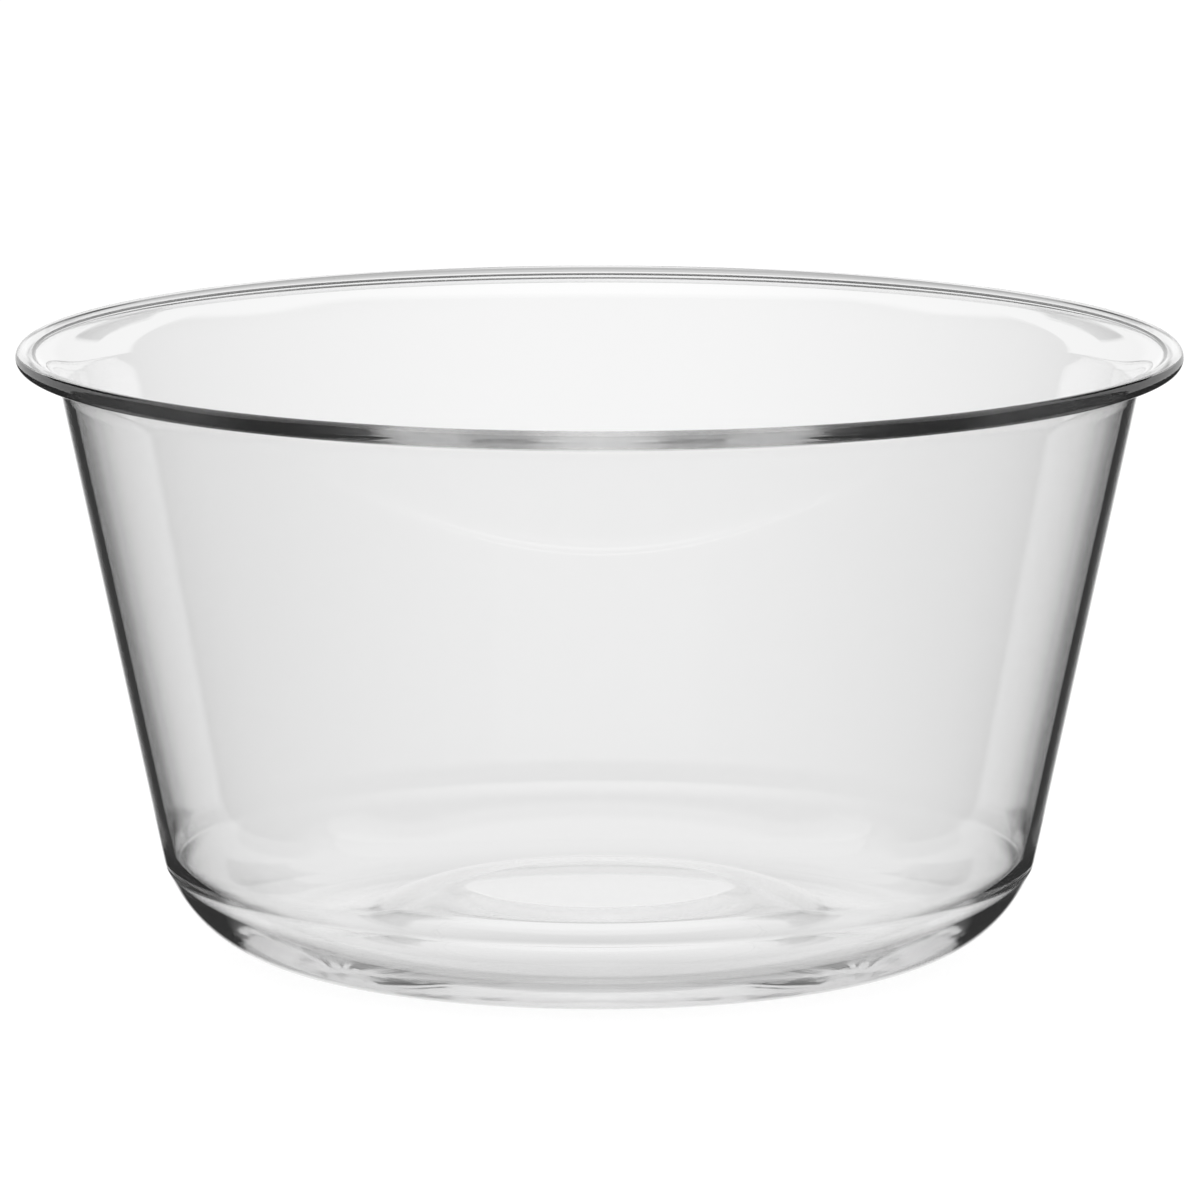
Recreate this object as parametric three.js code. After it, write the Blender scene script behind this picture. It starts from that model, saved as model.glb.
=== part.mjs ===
// A clear glass serving bowl, one piece of glass turned about its upright axis: a straight wall
// that widens to the rim, a lip that bends out to a round bead, a bevelled and rounded heel, and a
// base that stands on a flat foot ring and is pushed up in the middle to a low plateau.
// Millimetres, +Z up. The origin is the centre of the foot, on the surface that the bowl stands on.

import * as THREE from 'three';

// Driving dimensions of the wall and the lip.
const RIM_DIAMETER = 235;
const HEIGHT = 123.2;
const WALL_THICKNESS = 2.15;
const BEAD_DIAMETER = 3.7;
const LIP_BEND_RADIUS = 8.45;

// Driving dimensions of the heel: the crease where the wall ends, the bevel under it and the round.
const CREASE_DIAMETER = 176;
const CREASE_HEIGHT = 17.6;
const BEVEL_LEAN = THREE.MathUtils.degToRad(29);
const HEEL_RADIUS = 26.5;

// Driving dimensions of the base: its thickness at the foot ring and in the middle, the round between
// floor and wall inside, the inner edge of the foot ring, and the plateau pushed up in the middle.
const BASE_THICKNESS = 4;
const FLOOR_FILLET_RADIUS = 24;
const FOOT_RING_INNER_DIAMETER = 123;
const PLATEAU_DIAMETER = 52;
const PLATEAU_RISE = 9;

// Flat steps around the axis, and half of the steps along each arc of the outline.
const AROUND_STEPS = 72;
const HALF_ARC_STEPS = 3;

// Points of the outline closer than this are one point.
const SAME_POINT = 1e-6;

const rimRadius = RIM_DIAMETER / 2;
const beadRadius = BEAD_DIAMETER / 2;
const creaseRadius = CREASE_DIAMETER / 2;
const footRingInnerRadius = FOOT_RING_INNER_DIAMETER / 2;
const plateauRadius = PLATEAU_DIAMETER / 2;
const plateauTop = BASE_THICKNESS + PLATEAU_RISE;

// The lip bends about a point straight under the bead's centre. The bend is half a wall thickness
// tighter on its underside, and as much wider on its upper side.
const beadCentre = new THREE.Vector2(rimRadius - beadRadius, HEIGHT - beadRadius);
const bendCentre = new THREE.Vector2(beadCentre.x, beadCentre.y - LIP_BEND_RADIUS);
const bendRadiusUnder = LIP_BEND_RADIUS - WALL_THICKNESS / 2;
const bendRadiusOver = LIP_BEND_RADIUS + WALL_THICKNESS / 2;

// The wall leans so that its outer face runs from the crease into the underside of the lip.
function wallLean() {
  const across = bendCentre.x - creaseRadius;
  const up = bendCentre.y - CREASE_HEIGHT;
  return Math.atan2(across, up) - Math.asin(bendRadiusUnder / Math.hypot(across, up));
}

// Where a face of the lip, bent at the given radius, runs into the bead: the angle about the bend's
// centre and the angle about the bead's centre, from two circles that cross on the bowl's side.
function lipMeetsBead(bendRadius) {
  const up = (bendRadius ** 2 - beadRadius ** 2 + LIP_BEND_RADIUS ** 2) / (2 * LIP_BEND_RADIUS);
  const inward = Math.sqrt(bendRadius ** 2 - up ** 2);
  return {
    aboutBend: Math.atan2(up, -inward),
    aboutBead: Math.atan2(up - LIP_BEND_RADIUS, -inward),
  };
}

// Centre of the heel's round, which touches the standing surface and the bevel under the crease.
// The round is never so large that it would pass the crease.
function heelRound() {
  const largest = CREASE_HEIGHT / (1 - Math.sin(BEVEL_LEAN));
  const radius = Math.min(HEEL_RADIUS, largest);
  const inward = (radius - (radius - CREASE_HEIGHT) * Math.sin(BEVEL_LEAN)) / Math.cos(BEVEL_LEAN);
  return { radius, centre: new THREE.Vector2(creaseRadius - inward, radius) };
}

// Centre of the round inside, which touches the lowest ring of the floor and the wall's inner face.
function floorRound(lean) {
  const centreHeight = BASE_THICKNESS + FLOOR_FILLET_RADIUS;
  const outerFace = creaseRadius + (centreHeight - CREASE_HEIGHT) * Math.tan(lean);
  const inward = (WALL_THICKNESS + FLOOR_FILLET_RADIUS) / Math.cos(lean);
  return new THREE.Vector2(outerFace - inward, centreHeight);
}

// The plateau's flank is an S of two equal arcs, level at both ends. The flank's width and rise give
// the radius of the arcs and the angle that each of them turns.
function flankArcs(width, rise) {
  const radius = (width ** 2 + rise ** 2) / (4 * rise);
  return { radius, turn: Math.asin(width / (2 * radius)) };
}

// Half of the bowl's section, from the axis under the base, out along the foot, up the outside,
// over the bead and down the inside to the axis on the floor. x is the radius and y the height.
function bowlSection() {
  const lean = wallLean();
  const heel = heelRound();
  const floor = floorRound(lean);
  const under = lipMeetsBead(bendRadiusUnder);
  const over = lipMeetsBead(bendRadiusOver);
  const below = flankArcs(footRingInnerRadius - plateauRadius, PLATEAU_RISE);
  const above = flankArcs(floor.x - plateauRadius, PLATEAU_RISE);
  const up = Math.PI / 2;
  const down = -Math.PI / 2;

  const section = new THREE.Path();
  section.moveTo(0, PLATEAU_RISE);
  section.lineTo(plateauRadius, PLATEAU_RISE);
  section.absarc(plateauRadius, PLATEAU_RISE - below.radius, below.radius, up, up - below.turn, true);
  section.absarc(footRingInnerRadius, below.radius, below.radius, down - below.turn, down, false);
  section.lineTo(heel.centre.x, 0);
  section.absarc(heel.centre.x, heel.centre.y, heel.radius, down, -BEVEL_LEAN, false);
  section.lineTo(creaseRadius, CREASE_HEIGHT);
  section.absarc(bendCentre.x, bendCentre.y, bendRadiusUnder, Math.PI - lean, under.aboutBend, true);
  section.absarc(beadCentre.x, beadCentre.y, beadRadius, under.aboutBead, over.aboutBead, false);
  section.absarc(bendCentre.x, bendCentre.y, bendRadiusOver, over.aboutBend, Math.PI - lean, false);
  section.absarc(floor.x, floor.y, FLOOR_FILLET_RADIUS, -lean, down, true);
  section.absarc(floor.x, BASE_THICKNESS + above.radius, above.radius, down, down - above.turn, true);
  section.absarc(plateauRadius, plateauTop - above.radius, above.radius, up - above.turn, up, false);
  section.lineTo(0, plateauTop);
  return section;
}

// Two arcs that meet share a point, which is kept once.
function withoutRepeats(points) {
  return points.filter((point, i) => i === 0 || point.distanceTo(points[i - 1]) > SAME_POINT);
}

// The section turned about the upright axis.
function glassBowl() {
  const points = withoutRepeats(bowlSection().getPoints(HALF_ARC_STEPS));
  const geometry = new THREE.LatheGeometry(points, AROUND_STEPS);
  geometry.rotateX(Math.PI / 2);
  const material = new THREE.MeshStandardMaterial({ color: 0xe9eceb, roughness: 0.04, metalness: 0 });
  const mesh = new THREE.Mesh(geometry, material);
  mesh.name = 'glass_bowl';
  return mesh;
}

const bowl = new THREE.Group();
bowl.add(glassBowl());

export default bowl;
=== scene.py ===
# %% [markdown]
# # A clear glass serving bowl
# The real bowl is one piece of colourless glass, blown in a turning mould. It has a straight flared
# wall, a lip that bends out to a round bead, a bevelled and rounded heel, and a base that stands on
# a narrow foot ring and is pushed up in the middle. Clear glass has no look of its own: the eye sees
# only what the glass bends and mirrors. So this lesson spends its care on two things, a very smooth
# surface with the right thickness everywhere, and a studio for that surface to look at.
#
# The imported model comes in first. It is the fixed frame: its box gives the rim and the height that
# every other size is set against.

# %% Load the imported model
import math

import bpy
import numpy as np
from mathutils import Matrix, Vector


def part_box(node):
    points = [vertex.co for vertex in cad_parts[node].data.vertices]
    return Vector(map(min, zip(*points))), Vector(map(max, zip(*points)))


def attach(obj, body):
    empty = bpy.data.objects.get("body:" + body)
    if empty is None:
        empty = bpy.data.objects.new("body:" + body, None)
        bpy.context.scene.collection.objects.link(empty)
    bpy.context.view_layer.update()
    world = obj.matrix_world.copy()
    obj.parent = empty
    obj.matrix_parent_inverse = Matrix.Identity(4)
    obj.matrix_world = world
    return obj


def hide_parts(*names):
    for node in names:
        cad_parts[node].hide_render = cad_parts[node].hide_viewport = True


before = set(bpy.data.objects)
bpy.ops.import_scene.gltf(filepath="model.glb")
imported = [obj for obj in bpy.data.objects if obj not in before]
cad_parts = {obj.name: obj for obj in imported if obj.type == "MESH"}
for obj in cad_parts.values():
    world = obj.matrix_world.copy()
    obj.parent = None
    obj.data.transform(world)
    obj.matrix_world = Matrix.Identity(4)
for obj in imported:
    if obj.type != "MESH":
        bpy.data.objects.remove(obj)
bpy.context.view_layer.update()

# %% [markdown]
# ## The sizes of the section
# A turned vessel is known once half of its section is known. The rim and the height come from the
# frame. The rest are the bowl's own sizes, written in millimetres, because that is how a glass
# maker would measure them with a caliper, and turned to metres once.

# %% Sizes
MM = 0.001

bowl_low, bowl_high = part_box("glass_bowl")
rim_radius = max(bowl_high.x, bowl_high.y)
height = bowl_high.z - bowl_low.z

WALL_THICKNESS = 2.15 * MM
BEAD_RADIUS = 1.85 * MM
LIP_BEND_RADIUS = 8.45 * MM

CREASE_RADIUS = 88.0 * MM
CREASE_HEIGHT = 17.6 * MM
CREASE_ROUND = 4.0 * MM
BEVEL_LEAN = math.radians(29)
HEEL_RADIUS = 26.5 * MM

BASE_THICKNESS = 4.0 * MM
FLOOR_FILLET_RADIUS = 24.0 * MM
FOOT_RING_INNER_RADIUS = 61.5 * MM
PLATEAU_RADIUS = 26.0 * MM
PLATEAU_RISE = 9.0 * MM

print(f"rim {2000 * rim_radius:.1f} mm across, {1000 * height:.1f} mm tall")

# %% [markdown]
# ## Lines, arcs and S curves
# Every stretch of the section is a straight line or an arc of a circle, as on a mould that was cut
# on a lathe. Three small functions give them as arrays of points, radius first and height second.
# A hand-drawn curve would do for the outline, but glass shows every bump in it, so formulas are
# the safer way.

# %% Lines, arcs and S curves
def line(start, end, steps):
    """Points from start to end: start + t (end - start), with t in equal steps from 0 to 1."""
    t = np.linspace(0, 1, steps + 1)[:, None]
    return (1 - t) * np.asarray(start) + t * np.asarray(end)


def arc(centre, radius, start, end, steps):
    """Points of a circle: centre + radius (cos a, sin a), with a in equal steps from start to end."""
    a = np.linspace(start, end, steps + 1)
    return np.asarray(centre) + radius * np.stack([np.cos(a), np.sin(a)], axis=1)


def s_curve(high, low, steps):
    """Two equal arcs from a high point out to a low one, level at both ends.

    With w the distance across and h the drop, each arc has the radius (w w + h h) / 4 h and turns
    by the angle whose sine is w / 2 radius, so that they meet halfway with one slope.
    """
    width, drop = low[0] - high[0], high[1] - low[1]
    radius = (width ** 2 + drop ** 2) / (4 * drop)
    turn = math.asin(width / (2 * radius))
    crest = arc((high[0], high[1] - radius), radius, math.pi / 2, math.pi / 2 - turn, steps)
    foot = arc((low[0], low[1] + radius), radius, -math.pi / 2 - turn, -math.pi / 2, steps)
    return np.concatenate([crest, foot[1:]])


def joined(*stretches):
    """The stretches one after another, with the point that two of them share kept once."""
    return np.concatenate([stretches[0]] + [stretch[1:] for stretch in stretches[1:]])


print("a quarter round of 10, in two steps:", arc((0, 0), 10, 0, math.pi / 2, 2).round(2).tolist())

# %% [markdown]
# ## The wall, the lip and the heel
# The lip bends about a point straight under the bead. The wall leans so that its outer face runs
# from the crease above the heel into the underside of that bend, and the inner face runs parallel
# to it, one wall thickness away. The heel is a round that touches the table and the bevel.

# %% Where the wall and the lip meet
bead_centre = np.array([rim_radius - BEAD_RADIUS, height - BEAD_RADIUS])
bend_centre = bead_centre - [0, LIP_BEND_RADIUS]
bend_under = LIP_BEND_RADIUS - WALL_THICKNESS / 2
bend_over = LIP_BEND_RADIUS + WALL_THICKNESS / 2

to_bend = bend_centre - [CREASE_RADIUS, CREASE_HEIGHT]
wall_lean = math.atan2(*to_bend) - math.asin(bend_under / np.hypot(*to_bend))
print(f"wall leans {math.degrees(wall_lean):.2f} degrees")


def lip_meets_bead(bend_radius):
    """The angles, about the bend and about the bead, of the point where a face of the lip ends.

    Two circles whose centres lie one above the other cross at the height (b b - r r + d d) / 2 d
    over the lower centre, with b and r their radii and d the distance between the centres.
    """
    up = (bend_radius ** 2 - BEAD_RADIUS ** 2 + LIP_BEND_RADIUS ** 2) / (2 * LIP_BEND_RADIUS)
    inward = math.sqrt(bend_radius ** 2 - up ** 2)
    return math.atan2(up, -inward), math.atan2(up - LIP_BEND_RADIUS, -inward)


# %% Where the heel and the floor lie
heel_overhang = (HEEL_RADIUS - CREASE_HEIGHT) * math.sin(BEVEL_LEAN)
heel_inward = (HEEL_RADIUS - heel_overhang) / math.cos(BEVEL_LEAN)
heel_centre = np.array([CREASE_RADIUS - heel_inward, HEEL_RADIUS])

fillet_height = BASE_THICKNESS + FLOOR_FILLET_RADIUS
fillet_face = CREASE_RADIUS + (fillet_height - CREASE_HEIGHT) * math.tan(wall_lean)
fillet_inward = (WALL_THICKNESS + FLOOR_FILLET_RADIUS) / math.cos(wall_lean)
fillet_centre = np.array([fillet_face - fillet_inward, fillet_height])

plateau_top = BASE_THICKNESS + PLATEAU_RISE
print(f"floor is lowest at radius {1000 * fillet_centre[0]:.1f} mm")

# %% [markdown]
# ## Half of the section
# The section starts on the axis under the base, runs out over the foot ring, up the outside, over
# the bead and back down the inside to the axis. The base has one thickness, because its floor and
# its underside rise together: two faces that run side by side let light through almost unbent. The
# crease between bevel and wall gets a small round, because molten glass never keeps a sharp edge.
# Bent stretches get many steps and straight ones few: the points go where the glass bends light.

# %% The round at the crease
CREASE_STEPS = 6


def crease_round():
    """A round between bevel and wall: an arc that touches both lines, at CREASE_ROUND.

    The tangent length is radius tan(half of the turn), and the centre lies square to the bevel.
    """
    reach = CREASE_ROUND * math.tan((BEVEL_LEAN - wall_lean) / 2)
    along = np.array([math.sin(BEVEL_LEAN), math.cos(BEVEL_LEAN)])
    across = np.array([math.cos(BEVEL_LEAN), -math.sin(BEVEL_LEAN)])
    centre = [CREASE_RADIUS, CREASE_HEIGHT] - reach * along - CREASE_ROUND * across
    return arc(centre, CREASE_ROUND, -BEVEL_LEAN, -wall_lean, CREASE_STEPS)


print(f"crease rounded at {1000 * CREASE_ROUND:.0f} mm, {len(crease_round())} points")

# %% The section from the axis under the base to the axis on the floor
FLAT_STEPS = 4
FLANK_STEPS = 22
RING_STEPS = 5
HEEL_STEPS = 40
BEVEL_STEPS = 3
WALL_STEPS = 14
LIP_STEPS = 18
BEAD_STEPS = 48
FILLET_STEPS = 40


def bowl_section():
    """Every stretch of the half section, joined."""
    under_bend, under_bead = lip_meets_bead(bend_under)
    over_bend, over_bead = lip_meets_bead(bend_over)
    bead_end = over_bead + 2 * math.pi if over_bead < under_bead else over_bead
    wall_side = math.pi - wall_lean
    beneath = s_curve((PLATEAU_RADIUS, PLATEAU_RISE), (FOOT_RING_INNER_RADIUS, 0), FLANK_STEPS)
    heel = arc(heel_centre, HEEL_RADIUS, -math.pi / 2, -BEVEL_LEAN, HEEL_STEPS)
    crease = crease_round()
    lip_under = arc(bend_centre, bend_under, wall_side, under_bend, LIP_STEPS)
    bead = arc(bead_centre, BEAD_RADIUS, under_bead, bead_end, BEAD_STEPS)
    lip_over = arc(bend_centre, bend_over, over_bend, wall_side, LIP_STEPS)
    fillet = arc(fillet_centre, FLOOR_FILLET_RADIUS, -wall_lean, -math.pi / 2, FILLET_STEPS)
    floor = s_curve((PLATEAU_RADIUS, plateau_top), (fillet_centre[0], BASE_THICKNESS), FLANK_STEPS)[::-1]
    return joined(
        line((0, PLATEAU_RISE), beneath[0], FLAT_STEPS), beneath,
        line(beneath[-1], heel[0], RING_STEPS), heel,
        line(heel[-1], crease[0], BEVEL_STEPS), crease,
        line(crease[-1], lip_under[0], WALL_STEPS), lip_under, bead, lip_over,
        line(lip_over[-1], fillet[0], WALL_STEPS), fillet, floor,
        line(floor[-1], (0, plateau_top), FLAT_STEPS))


section = bowl_section()
print(f"{len(section)} points in the half section")

# %% [markdown]
# ## Turning the section
# Blender's Screw modifier could turn the outline. A grid worked out with numpy does the same in a
# few lines, keeps every point in reach, and lets the glass be a little uneven.

# %% A turned surface
AROUND = 320


def turned_surface(name, section, unevenness):
    """The section turned about the Z axis, as a mesh object.

    The surface is a function of two parameters, the place s along the section and the angle a:
    x = r(s) cos a, y = r(s) sin a, z = z(s) + unevenness(a, r(s)). The two ends of the section lie
    on the axis, and each becomes one vertex.
    """
    angle = np.linspace(0, 2 * np.pi, AROUND, endpoint=False)[:, None]
    radius, level = section[1:-1, 0][None, :], section[1:-1, 1][None, :]
    lift = unevenness(angle, radius)
    grid = np.stack([radius * np.cos(angle), radius * np.sin(angle), level + lift], axis=-1)
    rows = len(section) - 2
    poles = [[0, 0, section[0, 1]], [0, 0, section[-1, 1]]]
    vertices = np.concatenate([grid.reshape(-1, 3), poles])

    here = np.arange(AROUND)[:, None] * rows
    there = np.roll(here, -1, axis=0)
    row = np.arange(rows - 1)[None, :]
    quads = np.stack([here + row, there + row, there + row + 1, here + row + 1], axis=-1).reshape(-1, 4)
    here, there = here[:, 0], there[:, 0]
    beneath, inside = AROUND * rows, AROUND * rows + 1
    low_fan = np.stack([np.full(AROUND, beneath), there, here], axis=1)
    high_fan = np.stack([np.full(AROUND, inside), here + rows - 1, there + rows - 1], axis=1)

    mesh = bpy.data.meshes.new(name)
    mesh.from_pydata(vertices.tolist(), [], quads.tolist() + low_fan.tolist() + high_fan.tolist())
    mesh.polygons.foreach_set("use_smooth", np.ones(len(mesh.polygons), dtype=bool))
    mesh.update()
    piece = bpy.data.objects.new(name, mesh)
    bpy.context.scene.collection.objects.link(piece)
    return piece


print(f"{AROUND} steps around, {2000 * math.pi * rim_radius / AROUND:.2f} mm long at the rim")

# %% [markdown]
# ## The unevenness of the base
# No blown bowl is perfectly even. This one has a row of small dents along its foot ring, and a base
# that settled into long, shallow waves while it was hot. Both are a few hundredths of a millimetre
# deep at most, but the heel mirrors its light across them, and they break its long reflections up.

# %% The unevenness of the base
DENT_COUNT = 64
DENT_DEPTH = 0.03 * MM
DENT_MIDDLE = 62.0 * MM
DENT_REACH = 2.2 * MM
SETTLE_DEPTH = 0.005 * MM
SETTLE_MIDDLE = 48.0 * MM
SETTLE_REACH = 24.0 * MM
# Crests around the base, height and start of each slow wave.
SETTLE_WAVES = [(3, 1.0, 0.4), (5, 0.7, 2.1), (8, 0.6, 4.0)]


def hill(distance, reach):
    """A smooth hill: 1 at distance 0, and level with 0 at the reach, as (1 + cos) / 2."""
    return 0.5 + 0.5 * np.cos(np.pi * np.clip(distance / reach, -1, 1))


def foot_unevenness(angle, radius):
    """How far the underside is pushed up: a row of dents on the foot ring, and slow waves around it.

    A dent is DENT_DEPTH (1 + cos(count a)) / 2, and fades out across the ring. The slow waves are
    sines of the angle, and fade out the same way. Only the first half of the section, which is the
    outside of the bowl, has them.
    """
    outside = np.arange(radius.shape[1]) < radius.shape[1] / 2
    ring = hill(radius - DENT_MIDDLE, DENT_REACH)
    dents = DENT_DEPTH * (0.5 + 0.5 * np.cos(DENT_COUNT * angle)) * ring
    waves = sum(tall * np.sin(crests * angle + start) for crests, tall, start in SETTLE_WAVES)
    tallest = sum(tall for crests, tall, start in SETTLE_WAVES)
    settled = SETTLE_DEPTH * (1 + waves / tallest) * hill(radius - SETTLE_MIDDLE, SETTLE_REACH)
    return outside * (dents + settled)


bowl = turned_surface("glass_bowl_blown", section, foot_unevenness)
bowl.data.calc_loop_triangles()
print(f"bowl: {len(bowl.data.vertices)} vertices, {len(bowl.data.loop_triangles)} triangles")

# %% [markdown]
# ## Soda-lime glass
# The bowl is soda-lime glass, the common clear glass of tableware, blown in a mould and polished by
# flame. Its index is 1.52. To the eye it is colourless across the wall, and faintly grey where
# light runs a long way inside it, which a thin absorption in the volume gives. Flame leaves the
# skin without any roughness, but long, very shallow waves stay in it, and they make the bright
# lines on a real bowl tremble. Only the foot ring, which is set down on tables, is a little worn.

# %% Colours and nodes
def linear(hex_colour):
    """An sRGB hex colour as linear RGBA: ((s + 0.055) / 1.055) ^ 2.4, or s / 12.92 near black."""
    s = np.array([int(hex_colour[i:i + 2], 16) for i in (1, 3, 5)]) / 255
    rgb = np.where(s <= 0.04045, s / 12.92, ((s + 0.055) / 1.055) ** 2.4)
    return (*rgb.tolist(), 1.0)


def add_node(tree, kind, inputs=None, **settings):
    """Adds a node, sets its settings, and gives each named input a link or a value."""
    node = tree.nodes.new(kind)
    for name, value in settings.items():
        setattr(node, name, value)
    for name, value in (inputs or {}).items():
        if isinstance(value, bpy.types.NodeSocket):
            tree.links.new(value, node.inputs[name])
        else:
            node.inputs[name].default_value = value
    return node


print("middle grey in linear light:", round(linear("#808080")[0], 3))

# %% The glass
WHITE = "#ffffff"
GLASS_IOR = 1.52
GLASS_TINT = "#eeeeee"
ABSORPTION_PER_METRE = 4.0
WAVE_LENGTH = 26.0 * MM
WAVE_DEPTH = 0.004 * MM
SCUFF_SPACING = 0.8 * MM
SCUFF_ROUGHNESS = 0.16
WORN_HEIGHT = 0.25 * MM


def blown_soda_lime_glass():
    """Clear glass with shallow waves in its skin and a scuffed ring where it stands on tables."""
    material = bpy.data.materials.new("blown_soda_lime_glass")
    material.use_nodes = True
    tree = material.node_tree
    tree.nodes.clear()
    place = add_node(tree, "ShaderNodeTexCoord").outputs["Object"]
    waves = add_node(tree, "ShaderNodeTexNoise", {
        "Vector": place, "Scale": 1 / WAVE_LENGTH, "Detail": 1.0, "Roughness": 0.4})
    skin = add_node(tree, "ShaderNodeBump", {
        "Height": waves.outputs["Fac"], "Strength": 1.0, "Distance": WAVE_DEPTH})
    scuffs = add_node(tree, "ShaderNodeTexNoise", {
        "Vector": place, "Scale": 1 / SCUFF_SPACING, "Detail": 2.0, "Roughness": 0.6})
    level = add_node(tree, "ShaderNodeSeparateXYZ", {"Vector": place}).outputs["Z"]
    worn = add_node(tree, "ShaderNodeMapRange", {
        "Value": level, "From Min": 0.0, "From Max": WORN_HEIGHT, "To Min": SCUFF_ROUGHNESS, "To Max": 0.0})
    roughness = add_node(tree, "ShaderNodeMath", {
        0: worn.outputs["Result"], 1: scuffs.outputs["Fac"]}, operation="MULTIPLY")
    surface = add_node(tree, "ShaderNodeBsdfPrincipled", {
        "Base Color": linear(WHITE), "Roughness": roughness.outputs["Value"], "IOR": GLASS_IOR,
        "Transmission Weight": 1.0, "Normal": skin.outputs["Normal"]})
    volume = add_node(tree, "ShaderNodeVolumeAbsorption", {
        "Color": linear(GLASS_TINT), "Density": ABSORPTION_PER_METRE})
    add_node(tree, "ShaderNodeOutputMaterial", {
        "Surface": surface.outputs["BSDF"], "Volume": volume.outputs["Volume"]})
    return material


bowl.data.materials.append(blown_soda_lime_glass())
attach(bowl, "root")
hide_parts("glass_bowl")
print("glass:", bowl.data.materials[0].name)

# %% [markdown]
# ## The camera
# The photograph was taken from about two metres away with a long lens, looking down at the bowl by
# not quite ten degrees. The place and the aim were found by laying the bowl's own circles, rim,
# crease and foot, over the picture.

# %% The camera
CAMERA_PLACE = Vector((0.0, -2.1885, 0.4412))
CAMERA_AIM = Vector((0.0001, 0.0, 0.0709))
SENSOR_WIDTH = 36.0
LENS = 329.5

camera_data = bpy.data.cameras.new("camera")
camera_data.sensor_width = SENSOR_WIDTH
camera_data.lens = LENS
camera_data.dof.use_dof = False
camera = bpy.data.objects.new("camera", camera_data)
camera.location = CAMERA_PLACE
camera.rotation_euler = (CAMERA_AIM - CAMERA_PLACE).to_track_quat("-Z", "Y").to_euler()
bpy.context.scene.collection.objects.link(camera)
bpy.context.scene.camera = camera
print(f"camera {CAMERA_PLACE.length:.2f} m from the bowl, lens {LENS} mm")

# %% [markdown]
# ## The floor
# The bowl stands on a plain white table. What the camera sees of the table is white by its own
# glow, which lights nothing else, plus a little light that the table really scatters, so that the
# bowl's soft shadow stays on it. Glass sees the studio instead of the table, which the next step
# builds.

# %% The floor
FLOOR_HALF = 6.0
FLOOR_DROP = 0.05 * MM
FLOOR_GLOW = 0.92
FLOOR_COLOUR = "#727272"


def white_table():
    """A glow for the camera alone and a dim matt surface that takes shadows."""
    material = bpy.data.materials.new("white_table")
    material.use_nodes = True
    tree = material.node_tree
    tree.nodes.clear()
    seen = add_node(tree, "ShaderNodeLightPath").outputs["Is Camera Ray"]
    strength = add_node(tree, "ShaderNodeMath", {0: seen, 1: FLOOR_GLOW}, operation="MULTIPLY")
    glow = add_node(tree, "ShaderNodeEmission", {"Strength": strength.outputs["Value"]})
    matt = add_node(tree, "ShaderNodeBsdfDiffuse", {"Color": linear(FLOOR_COLOUR)})
    both = add_node(tree, "ShaderNodeAddShader", {0: glow.outputs["Emission"], 1: matt.outputs["BSDF"]})
    add_node(tree, "ShaderNodeOutputMaterial", {"Surface": both.outputs["Shader"]})
    return material


corners = FLOOR_HALF * np.array([[-1, -1, 0], [1, -1, 0], [1, 1, 0], [-1, 1, 0]]) - [0, 0, FLOOR_DROP]
floor_mesh = bpy.data.meshes.new("floor")
floor_mesh.from_pydata(corners.tolist(), [], [(0, 1, 2, 3)])
floor_mesh.materials.append(white_table())
floor = bpy.data.objects.new("floor", floor_mesh)
floor.visible_transmission = False
floor.visible_glossy = False
bpy.context.scene.collection.objects.link(floor)
print("floor: a white table", 2 * FLOOR_HALF, "m wide")

# %% [markdown]
# ## The studio
# Photographers light clear glass by bright field: white right behind it, and black cards at both
# sides. Light that passes straight through the wall is white, and light that the edge of the glass
# bends or mirrors aside comes from the cards, so the edge is drawn in dark lines. A few real lamps
# and cards could do that, but each would need its own place. Here the world itself is the studio:
# its brightness is a function of the direction that a ray goes.
#
# Three readings are enough for it. Two are angles in degrees, how far a ray goes to the side of
# straight back and how far above level, and the third is 1 for a ray that the glass has mirrored.

# %% What the studio reads of a ray
world = bpy.data.worlds.new("bright_field_studio")
world.use_nodes = True
studio = world.node_tree
studio.nodes.clear()

way = add_node(studio, "ShaderNodeTexCoord").outputs["Generated"]
x, y, z = add_node(studio, "ShaderNodeSeparateXYZ", {"Vector": way}).outputs
turn = add_node(studio, "ShaderNodeMath", {0: x, 1: y}, operation="ARCTAN2").outputs["Value"]
turned = add_node(studio, "ShaderNodeMath", {0: turn}, operation="ABSOLUTE").outputs["Value"]
lifted = add_node(studio, "ShaderNodeMath", {0: z}, operation="ARCSINE").outputs["Value"]
path = add_node(studio, "ShaderNodeLightPath").outputs
readings = {
    "aside": add_node(studio, "ShaderNodeMath", {0: turned}, operation="DEGREES").outputs["Value"],
    "above": add_node(studio, "ShaderNodeMath", {0: lifted}, operation="DEGREES").outputs["Value"],
    "mirrored": add_node(studio, "ShaderNodeMath", {0: path["Glossy Depth"], 1: 1.0},
                         operation="MINIMUM").outputs["Value"],
}
print("the studio reads", ", ".join(readings))

# %% [markdown]
# ## The edges of the studio
# The studio is then a list of edges. Each one is a smooth step from one level to another at some
# place of one reading, and a later edge can take an earlier one as its level. Straight behind the
# bowl is a white lane over a table that gets greyer towards the bowl: that grey is a painted shadow
# of the bowl, set into the world's levels. A narrow strip of black card lies low down at each side,
# and a white room further round. A mirrored ray meets the dark side of the studio instead: the low
# black cards in full, a white band above them with one black flag at each side, and black cloth
# further round, and straight down it finds the table grey in the same painted shadow. A white bank
# hangs overhead, and it starts higher on the camera's side.

# %% Levels, where 1 is white
HORIZON_LEVEL = 1.0
LANE_LEVEL = 0.93
ROOM_LEVEL = 0.97
TABLE_FAR = 0.92
# Painted shadow of the bowl: the grey level of the table close under it.
TABLE_IN_PAINTED_SHADOW = 0.5
BANK_LEVEL = 0.9
BAND_LEVEL = 0.85
CARD_LEVEL = 0.04
CARD_BELOW = 0.4
CLOTH_LEVEL = 0.03

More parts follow.
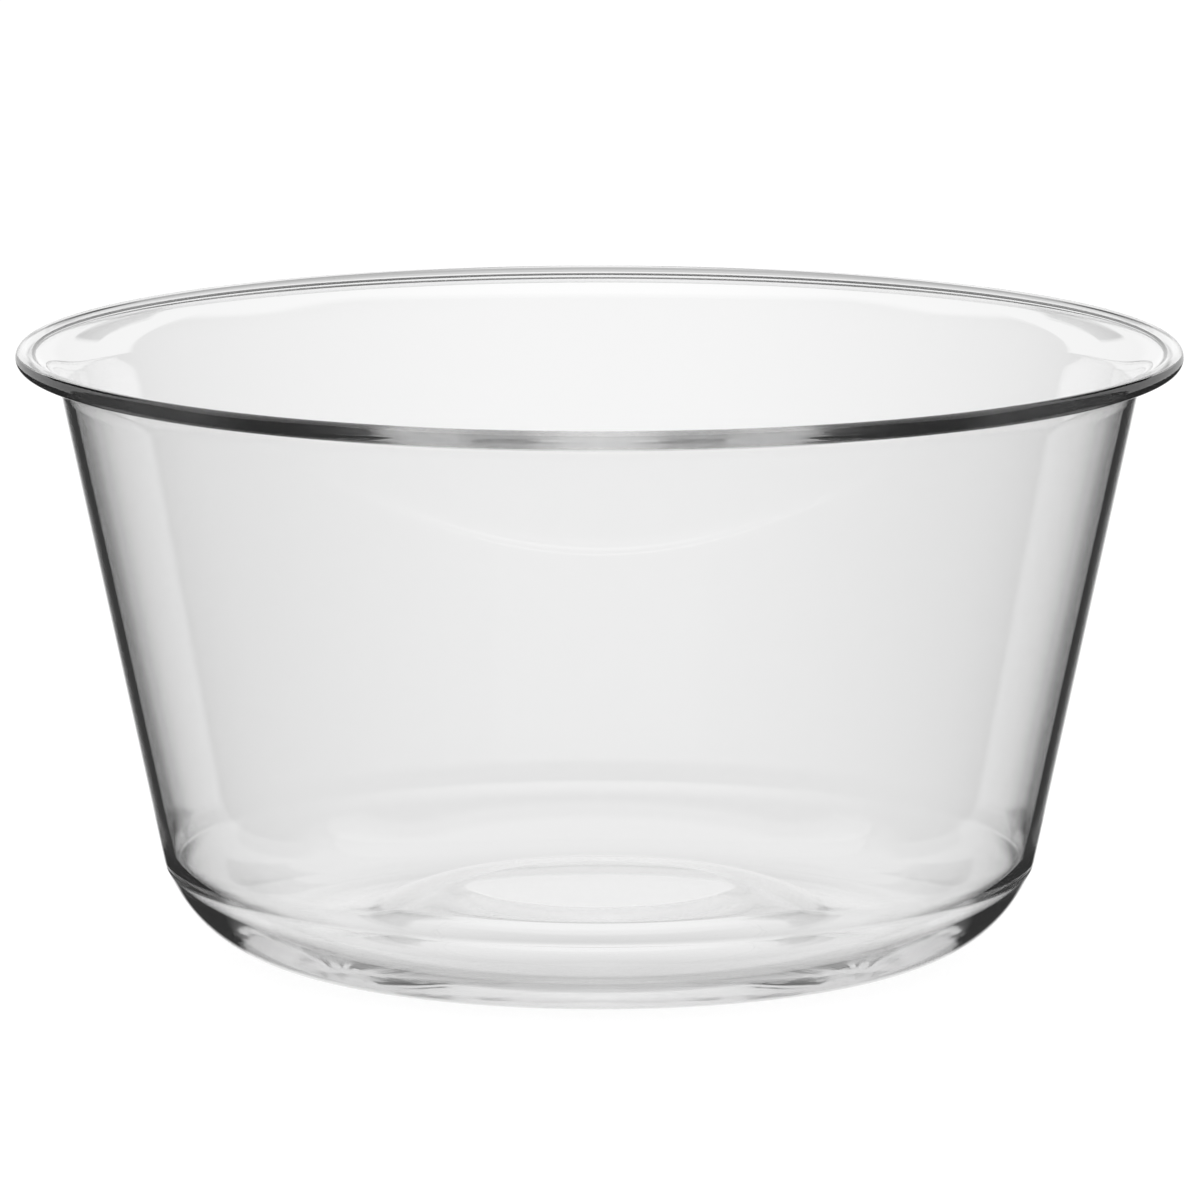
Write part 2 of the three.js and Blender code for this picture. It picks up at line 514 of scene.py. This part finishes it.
print("the studio's levels run from", CLOTH_LEVEL, "to", HORIZON_LEVEL)

# %% The edges
# Name of the edge, reading, its place and half its width, level before it and level after it.
STUDIO_EDGES = [
    # The table, under and ground edges paint the bowl's shadow into the world, grey close under the bowl.
    ("table", "above", -25.5, 10.5, TABLE_IN_PAINTED_SHADOW, TABLE_FAR),
    ("under", "mirrored", 0.5, 0.5, ROOM_LEVEL, TABLE_IN_PAINTED_SHADOW),
    ("ground", "above", -50.0, 6.0, "under", "table"),
    ("backdrop", "aside", 1.65, 1.35, HORIZON_LEVEL, LANE_LEVEL),
    ("lane", "above", -11.1, 1.9, "ground", "backdrop"),
    ("card", "above", -31.0, 2.0, CARD_BELOW, CARD_LEVEL),
    ("band", "above", -8.0, 1.0, "card", BAND_LEVEL),
    ("flag_foot", "above", 19.0, 1.0, "band", CARD_LEVEL),
    ("flag_top", "above", 36.0, 1.0, "flag_foot", BAND_LEVEL),
    ("flag_near", "aside", 16.0, 1.0, "band", "flag_top"),
    ("flag_far", "aside", 33.0, 1.0, "flag_near", "band"),
    ("cloth", "aside", 54.0, 1.0, "flag_far", CLOTH_LEVEL),
    ("strip", "aside", 18.0, 3.0, "flag_far", ROOM_LEVEL),
    ("sides", "mirrored", 0.5, 0.5, "strip", "cloth"),
    ("around", "aside", 9.5, 3.5, "lane", "sides"),
    ("bank_behind", "above", 39.0, 4.0, "around", BANK_LEVEL),
    ("bank_in_front", "above", 60.0, 5.0, "around", BANK_LEVEL),
    ("whole", "aside", 90.0, 10.0, "bank_behind", "bank_in_front"),
]

levels = {}
for name, reading, place, half, before, after in STUDIO_EDGES:
    levels[name] = add_node(studio, "ShaderNodeMapRange", {
        "Value": readings[reading], "From Min": place - half, "From Max": place + half,
        "To Min": levels.get(before, before), "To Max": levels.get(after, after)},
        interpolation_type="SMOOTHSTEP").outputs["Result"]
print(len(levels), "edges in the studio")

# %% [markdown]
# ## What the camera sees
# The camera looks past the bowl at plain white, whatever the studio holds there. Light Path knows
# the camera's own rays, and the larger of that mark and the studio's level is the light.

# %% The world
shown = add_node(studio, "ShaderNodeMath", {
    0: levels["whole"], 1: path["Is Camera Ray"]}, operation="MAXIMUM")
light = add_node(studio, "ShaderNodeBackground", {
    "Color": linear(WHITE), "Strength": shown.outputs["Value"]})
add_node(studio, "ShaderNodeOutputWorld", {"Surface": light.outputs["Background"]})
bpy.context.scene.world = world
print("world:", world.name)

# %% [markdown]
# ## Light paths
# The rim of a glass bowl is lit from inside: light runs up the wall by mirroring from face to face,
# as in a glass fibre, and leaves at the rim. Cycles stops a ray after a dozen turns by default,
# which would leave the rim too dark, so many more are allowed here.

# %% Light paths and colour
PATH_TURNS = 128

scene = bpy.context.scene
scene.cycles.max_bounces = PATH_TURNS
scene.cycles.transmission_bounces = PATH_TURNS
scene.cycles.glossy_bounces = PATH_TURNS
scene.view_settings.view_transform = "Standard"
print("paths of up to", PATH_TURNS, "turns, standard view transform")
